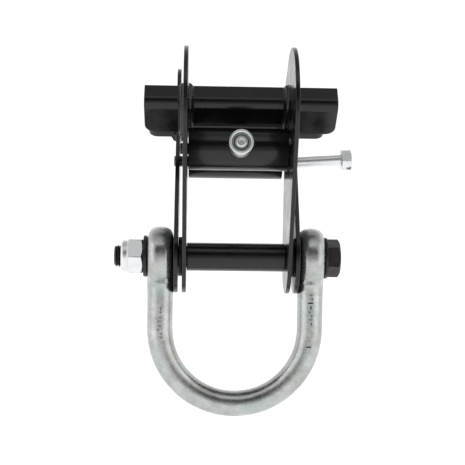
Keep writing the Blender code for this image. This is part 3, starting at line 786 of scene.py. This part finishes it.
head = hex_blank(SCREW_FLATS, SCREW_HEAD_TURN, SCREW_SEAT_X, SCREW_SEAT_X + SCREW_HEAD_T,
                 False, True, SCREW_RIM_SHARE)
shank = lathe([(SCREW_TIP_X, 0.0), (SCREW_TIP_X, SCREW_R - SCREW_POINT),
               (SCREW_TIP_X + SCREW_POINT, SCREW_R), (SCREW_SEAT_X - 0.0006, SCREW_R),
               (SCREW_SEAT_X + 0.001, SCREW_R + 0.0006), (SCREW_SEAT_X + 0.001, 0.0)])
put(boolean(head, shank, "UNION"), "lock_screw", 30.0, bevel=FASTENER_EDGE, at=REAR_PIVOT,
    turned=SCREW_PLACE)

# Main pin: black bolt, threaded where it leaves the zinc nut.
PIN_R = 0.008
PIN_FLATS = 0.024
PIN_PITCH = 0.002
PIN_POINT = 0.0014
PIN_HEAD_T = 0.0090
PIN_HEAD_TURN = radians(-6.6) + pi / 6
PIN_NUT_TURN = pi
PIN_COLLAR_T = 0.0048
PIN_COLLAR_R = 0.0114
PIN_INSERT_R = 0.0098

low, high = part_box("pin_bolt")
nut_low, nut_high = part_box("pin_nut")
head_x = high.x - PIN_HEAD_T
thread_x = nut_high.x - 0.001
head = hex_blank(PIN_FLATS, PIN_HEAD_TURN, head_x, high.x, False, True)
shank = drum(head_x + 0.001, thread_x, PIN_R)
screwed = thread(thread_x + 0.0004, low.x, PIN_R, PIN_PITCH, PIN_POINT)
put(joined(boolean(head, shank, "UNION"), screwed), "pin_bolt", 30.0, at=PIN)
lock_nut("pin_nut", "pin_nut_insert", PIN_FLATS, PIN_NUT_TURN, nut_high.x, -1.0,
         nut_high.x - nut_low.x, PIN_COLLAR_T, PIN_COLLAR_R, PIN_R + GAP, PIN_INSERT_R, PIN)


# ---------------------------------------------------------------- shackle

EYE_X = 0.0546                    # middle of each eye and leg, either side of the middle
EYE_HALF = 0.0094
EYE_R = 0.0218
EYE_FULLNESS = 0.75               # below 1 squares the eye's section
EYE_STEPS = 24
EYE_BORE_R = 0.0090
BAR_R = 0.0095
BAR_SIDES = 48
NECK_SWELL = 0.0006               # extra radius where a leg meets its eye
NECK_Z = -0.0150
NECK_SPAN = 0.014
LEG_Z = (-0.0100, -0.0160, -0.0200, -0.0240, -0.0290, -0.0360, -0.0440)
ARC_Z = -0.0526
ARC_STEPS = 72
VOXEL = 0.00085
SOFTENING = 45
MARK_STEP = 0.0030
MARK_LONG = 0.0036
MARK_THIN = 0.0009
MARK_DEEP = 0.0012
MARK_PROUD = 0.0001               # how far out of the bar's crown a mark's middle lies
MARK_ROWS = ((-1.0, -0.0375, 8, 5), (1.0, -0.0265, 8, 11), (1.0, -0.0610, 2, 23))


def bow():
    """Round bar swept from eye to eye, a little fuller where it meets them."""
    path = [(-EYE_X, z) for z in LEG_Z]
    for k in range(ARC_STEPS + 1):
        turn = pi + pi * k / ARC_STEPS
        path.append((EYE_X * cos(turn), ARC_Z + EYE_X * sin(turn)))
    path += [(EYE_X, z) for z in reversed(LEG_Z)]
    bm = bmesh.new()
    rings = []
    for k, (x, z) in enumerate(path):
        before = path[max(k - 1, 0)]
        after = path[min(k + 1, len(path) - 1)]
        run = hypot(after[0] - before[0], after[1] - before[1])
        across = (-(after[1] - before[1]) / run, (after[0] - before[0]) / run)
        size = BAR_R + NECK_SWELL * max(0.0, 1.0 - abs(z - NECK_Z) / NECK_SPAN)
        ring = []
        for j in range(BAR_SIDES):
            turn = 2 * pi * j / BAR_SIDES
            out = size * cos(turn)
            ring.append(bm.verts.new((x + across[0] * out, size * sin(turn),
                                      z + across[1] * out)))
        rings.append(ring)
    skin(bm, rings)
    return bm


def eye(side):
    """Domed eye with a full rim, drawn round the pin's axis."""
    middle = side * EYE_X
    rim_r = EYE_R - EYE_HALF
    profile = [(middle - EYE_HALF, 0.0), (middle - EYE_HALF, rim_r)]
    for k in range(1, EYE_STEPS):
        turn = pi * k / EYE_STEPS
        reach = copysign(abs(cos(turn)) ** EYE_FULLNESS, cos(turn))
        profile.append((middle - EYE_HALF * reach, rim_r + EYE_HALF * sin(turn) ** EYE_FULLNESS))
    profile += [(middle + EYE_HALF, rim_r), (middle + EYE_HALF, 0.0)]
    return lathe(profile)


def marks(side, top_z, count, seed):
    """Short raised strokes down the front of a leg, in the place of forged marks."""
    bm = bmesh.new()
    pick = random.Random(seed)
    for k in range(count):
        z = top_z - MARK_STEP * k
        sunk = max(0.0, ARC_Z - z)
        x = side * (EYE_X ** 2 - sunk ** 2) ** 0.5 + pick.uniform(-0.0004, 0.0004)
        for across in (pick.random() < 0.7, pick.random() < 0.4):
            size = (MARK_LONG, MARK_THIN) if across else (MARK_THIN, MARK_STEP * 0.72)
            shift = pick.uniform(-0.0010, 0.0010)
            place = Matrix.Translation((x + (0.0 if across else shift), -BAR_R + MARK_PROUD,
                                        z + (shift * 0.5 if across else 0.0)))
            form = Matrix.Diagonal((size[0], MARK_DEEP, size[1], 1.0))
            bmesh.ops.create_cube(bm, size=1.0, matrix=place @ form)
    return bm


def shackle():
    """Forging: bow and eyes melted together, softened, then bored."""
    blank = temporary(joined(bow(), eye(-1.0), eye(1.0)))
    melt = blank.modifiers.new("melt", "REMESH")
    melt.mode = "VOXEL"
    melt.voxel_size = VOXEL
    soft = blank.modifiers.new("soften", "SMOOTH")
    soft.factor = 0.5
    soft.iterations = SOFTENING
    body = evaluated(blank)
    reach = EYE_HALF + 1.5 * OVERRUN
    for middle in (-EYE_X, EYE_X):
        bore = drum(middle - reach, middle + reach, EYE_BORE_R)
        body = boolean(body, bore, "DIFFERENCE")
    put(joined(body, *(marks(*row) for row in MARK_ROWS)), "shackle", 35.0, at=PIN)


shackle()


# ---------------------------------------------------------------- stage, light and camera

FLOOR_DROP = 0.45                 # below the main pin
FLOOR_HALF = 30.0
# Painted light on the floor: its glow and pale colour are full near the object, at its sides and
# behind it, and fall to painted shade far in front, where the studio is dark.
FLOOR_FADE = (-7.0, -1.2)         # Y where the floor in front is dimmest, and where it is full
FLOOR_BASE = (0.94, 0.60)         # near, and far in front
FLOOR_GLOW = (0.45, 0.10)
FRONT_SPAN = (0.45, 1.25)         # azimuth from straight in front, radians


def in_front(nodes, x, y):
    """1 straight in front of the object, 0 at its sides and behind it."""
    azimuth = nodes.math("ARCTAN2", x, nodes.math("MULTIPLY", y, -1.0))
    azimuth = nodes.math("ABSOLUTE", azimuth, 0.0)
    return nodes.spread(azimuth, FRONT_SPAN, (1.0, 0.0), smooth=True)


def floor():
    """Wide pale floor that glows with painted light and fades to painted shade far in front of
    the object.
    """
    s = Shader("floor_look")
    s.set(Roughness=0.9, Emission_Color=(1.0, 1.0, 1.0, 1.0))
    x, y, _ = s.axes()
    away = s.spread(y, FLOOR_FADE, (1.0, 0.0), smooth=True)
    dim = s.math("MULTIPLY", away, in_front(s, x, y))
    # The painted shade mask sets the floor's glow and pale colour, so its brightness is painted
    # rather than lit.
    for (near, far), socket in ((FLOOR_GLOW, "Emission Strength"), (FLOOR_BASE, "Base Color")):
        s.link(s.math("ADD", s.math("MULTIPLY", dim, far - near), near), socket)
    bm = bmesh.new()
    bmesh.ops.create_grid(bm, x_segments=1, y_segments=1, size=FLOOR_HALF)
    mesh = bpy.data.meshes.new("floor")
    bm.to_mesh(mesh)
    bm.free()
    mesh.materials.append(s.material)
    made = bpy.data.objects.new("floor", mesh)
    made.location = (0.0, 0.0, PIN.z - FLOOR_DROP)
    bpy.context.scene.collection.objects.link(made)


WORLD_STRENGTH = 1.06
FRONT_LIGHT = ((-90.0, 0.48), (90.0, 0.40), (12.0, 0.42), (17.0, 0.05), (43.0, 0.05),
               (48.0, 0.90), (62.0, 0.85), (76.0, 0.45))
BACK_LIGHT = ((-90.0, 1.0), (90.0, 0.40), (35.0, 1.0), (70.0, 0.42))


def elevation_light(nodes, z, stops):
    """Brightness against elevation in degrees; the first two stops are straight down and up."""
    node = nodes.tree.nodes.new("ShaderNodeValToRGB")
    ramp = node.color_ramp.elements
    for k, (elevation, value) in enumerate(stops):
        place = (sin(radians(elevation)) + 1.0) / 2
        stop = ramp[k] if k < 2 else ramp.new(place)
        stop.position = place
        stop.color = (value, value, value, 1.0)
    height = nodes.math("MULTIPLY", nodes.math("ADD", z, 1.0), 0.5)
    nodes.tree.links.new(height, node.inputs["Fac"])
    return node.outputs["Color"]


def world():
    """Pale surround with a dark band in front, as in a white studio cove."""
    made = bpy.data.worlds.new("studio")
    bpy.context.scene.world = made
    made.use_nodes = True
    nodes = Nodes(made.node_tree, "Generated")
    x, y, z = nodes.axes()
    front = elevation_light(nodes, z, FRONT_LIGHT)
    back = elevation_light(nodes, z, BACK_LIGHT)
    background = nodes.tree.nodes["Background"]
    light = nodes.blend(in_front(nodes, x, y), back, front)
    nodes.tree.links.new(light, background.inputs["Color"])
    background.inputs["Strength"].default_value = WORLD_STRENGTH


SOFTBOX_SIZE = (1.4, 1.8)
SOFTBOX_POWER = 4.0
SOFTBOX_TARGET = PIN + Vector((0.0, 0.0, 0.03))


def softbox(name, offset):
    """Large area light that faces the middle of the clamp."""
    data = bpy.data.lights.new(name, "AREA")
    data.shape = "RECTANGLE"
    data.size, data.size_y = SOFTBOX_SIZE
    data.energy = SOFTBOX_POWER
    made = bpy.data.objects.new(name, data)
    made.location = SOFTBOX_TARGET + Vector(offset)
    made.rotation_euler = Vector(offset).to_track_quat("Z", "Y").to_euler()
    bpy.context.scene.collection.objects.link(made)


CAMERA_LENS = 85.2
CAMERA_ROLL = radians(0.8)
CAMERA_PLACE = PIN + Vector((-0.030, -0.800, 0.045))
CAMERA_TARGET = PIN + Vector((-0.0026, 0.0, 0.0179))


def camera():
    """Long lens, a little above the pin and to its left."""
    data = bpy.data.cameras.new("camera")
    data.sensor_width = 36.0
    data.lens = CAMERA_LENS
    data.clip_start = 0.05
    data.clip_end = 100.0
    made = bpy.data.objects.new("camera", data)
    look = (CAMERA_TARGET - CAMERA_PLACE).to_track_quat("-Z", "Y").to_matrix().to_4x4()
    roll = Matrix.Rotation(CAMERA_ROLL, 4, "Z")
    made.matrix_world = Matrix.Translation(CAMERA_PLACE) @ look @ roll
    bpy.context.scene.collection.objects.link(made)
    bpy.context.scene.camera = made


floor()
world()
softbox("left", (-1.3, -0.9, 0.4))
softbox("right", (1.3, -0.9, 0.4))
camera()
bpy.context.scene.view_settings.view_transform = "Standard"
